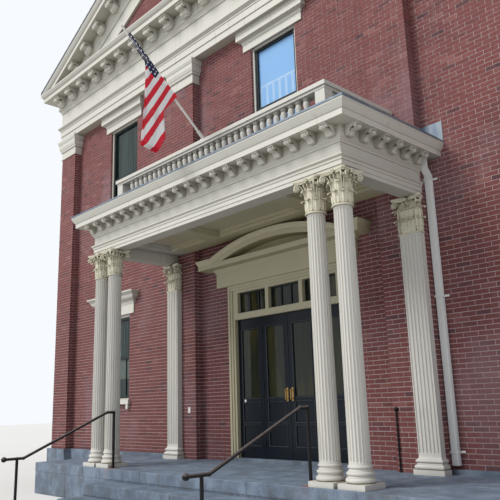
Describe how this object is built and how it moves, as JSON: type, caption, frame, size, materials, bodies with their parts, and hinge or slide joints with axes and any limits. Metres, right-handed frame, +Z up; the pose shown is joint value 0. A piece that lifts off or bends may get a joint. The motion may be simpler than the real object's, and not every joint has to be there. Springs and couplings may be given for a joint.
{
  "type": "town hall building",
  "caption": "Two-storey red brick town hall with a pedimented front, granite base, columned porch, balustraded balcony and double doors.",
  "frame": {"origin": "on the ground at the middle of the plan, steps and handrails included", "axes": "+Z up, the entrance front faces -Y, X along the front"},
  "size_m": [16.844, 26.5116, 14.419],
  "materials": {
    "granite": "weathered granite, fine picked",
    "brick": "red brick with pale mortar, matt",
    "floor_boards": "oiled boards",
    "roof_slate": "slate, matt",
    "sheet_metal": "weathered sheet metal, grey green",
    "window_pane": "clear glass",
    "sash_paint": "dark gloss paint",
    "door_paint": "dark blue-black gloss paint",
    "door_brass": "worn brass",
    "rail_paint": "dark paint, rusting",
    "pole_paint": "white paint",
    "flag_cloth": "woven cloth",
    "pipe_paint": "cream paint",
    "trim_paint": "cream paint, weathered",
    "column_paint": "cream paint, weathered",
    "porch_paint": "cream paint, weathered"
  },
  "bodies": {
    "building": {"granite_base": "granite", "porch_floor": "granite", "step_upper": "granite", "step_lower": "granite", "front_wall_left": "brick", "front_wall_right": "brick", "front_wall_over_door": "brick", "side_wall_left": "brick", "side_wall_right": "brick", "rear_wall": "brick", "front_gable": "brick", "rear_gable": "brick", "ground_floor": "floor_boards", "upper_floor": "floor_boards", "roof_left": "roof_slate", "roof_right": "roof_slate", "main_entablature": "trim_paint", "main_cornice": "trim_paint", "cornice_modillions": "trim_paint", "raking_cornices": "trim_paint", "pilaster_capitals": "trim_paint", "window_hoods": "trim_paint", "window_frames": "trim_paint", "window_sashes": "sash_paint", "window_glass": "window_pane", "column_bases": "column_paint", "column_shafts": "column_paint", "column_capitals": "column_paint", "antae": "column_paint", "anta_capitals": "column_paint", "porch_entablature": "porch_paint", "porch_cornice": "porch_paint", "porch_modillions": "porch_paint", "porch_ceiling": "porch_paint", "porch_roof": "sheet_metal", "balustrade_rails": "porch_paint", "balusters": "porch_paint", "roof_flashing": "sheet_metal", "downspout": "pipe_paint", "door_frame": "porch_paint", "transom_sashes": "sash_paint", "door_hood": "porch_paint", "fixed_leaves": "door_paint", "entrance_glass": "window_pane", "handrails": "rail_paint", "flagpole": "pole_paint", "flag": "flag_cloth"},
    "left_door": {"door_left": "door_paint", "door_left_glass": "window_pane", "door_left_handle": "door_brass"},
    "right_door": {"door_right": "door_paint", "door_right_glass": "window_pane", "door_right_handle": "door_brass"}
  },
  "joints": [
    {"name": "left_door_hinge", "type": "hinge", "parent": "building", "child": "left_door", "pos_m": [-0.622, -9.3444, 0.609], "axis": [0, 0, -1], "range_deg": [0, 90]},
    {"name": "right_door_hinge", "type": "hinge", "parent": "building", "child": "right_door", "pos_m": [0.622, -9.3444, 0.609], "axis": [0, 0, 1], "range_deg": [0, 90]}
  ]
}
